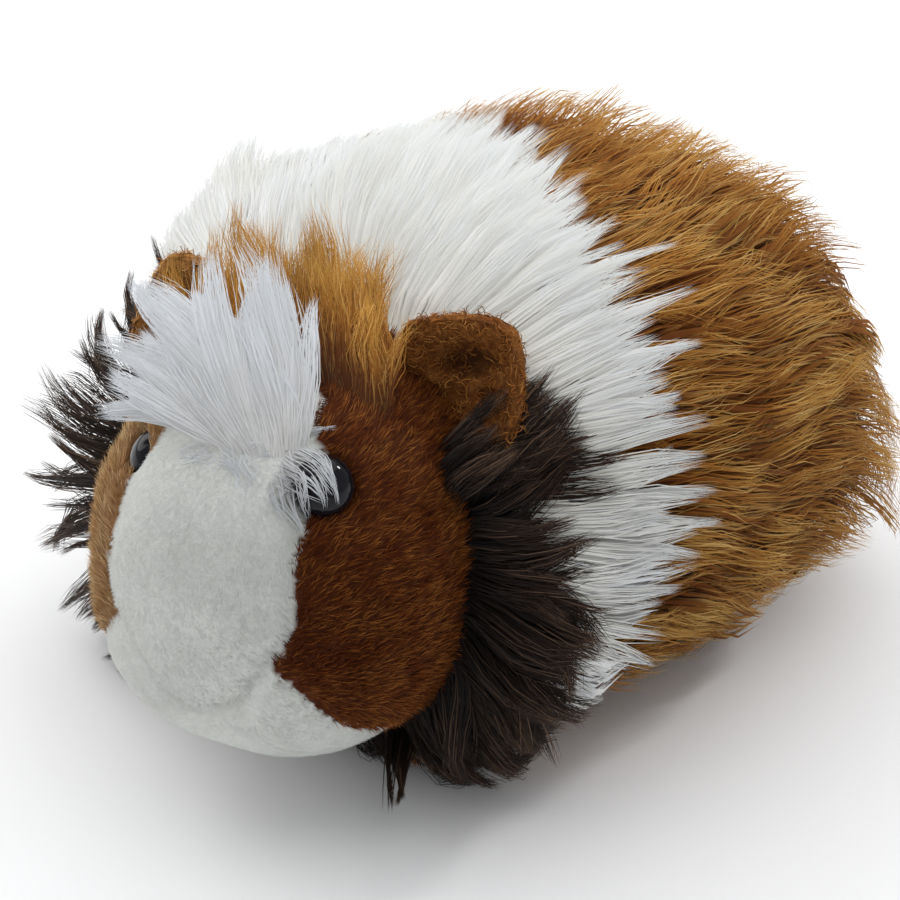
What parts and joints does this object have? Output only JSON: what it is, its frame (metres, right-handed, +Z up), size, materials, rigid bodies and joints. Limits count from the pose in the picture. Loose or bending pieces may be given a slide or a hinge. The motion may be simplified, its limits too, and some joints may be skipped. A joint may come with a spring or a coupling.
{
  "type": "plush guinea pig",
  "caption": "Stuffed toy guinea pig with a long shaggy gold, white and dark coat, a short-pile brown and cream face, cupped ears and domed black eyes.",
  "frame": {"origin": "centre of the bounding box at the floor", "axes": "+X towards the toy's own left side, -Y towards the nose, +Z up"},
  "size_m": [0.1692, 0.2084, 0.1291],
  "materials": {
    "gold_pile": "long golden-brown pile, dark at the root and pale at the tip",
    "white_pile": "long cool-white pile, silky",
    "dark_pile": "long brown-black pile",
    "brown_plush": "short chestnut plush",
    "cream_plush": "short off-white plush",
    "ear_curl": "short curly chestnut pile",
    "eye": "glossy black domed plastic"
  },
  "bodies": {
    "root": {"rump": "gold_pile", "belly": "gold_pile", "crown": "gold_pile", "shoulder_band": "white_pile", "forelock": "white_pile", "ruff_left": "dark_pile", "ruff_right": "dark_pile", "cheek_left": "brown_plush", "cheek_right": "brown_plush", "foot_front_left": "brown_plush", "foot_front_right": "brown_plush", "foot_rear_left": "brown_plush", "foot_rear_right": "brown_plush", "muzzle": "cream_plush", "chin": "cream_plush", "ear_left": "ear_curl", "ear_right": "ear_curl", "eye_left": "eye", "eye_right": "eye"}
  },
  "joints": []
}
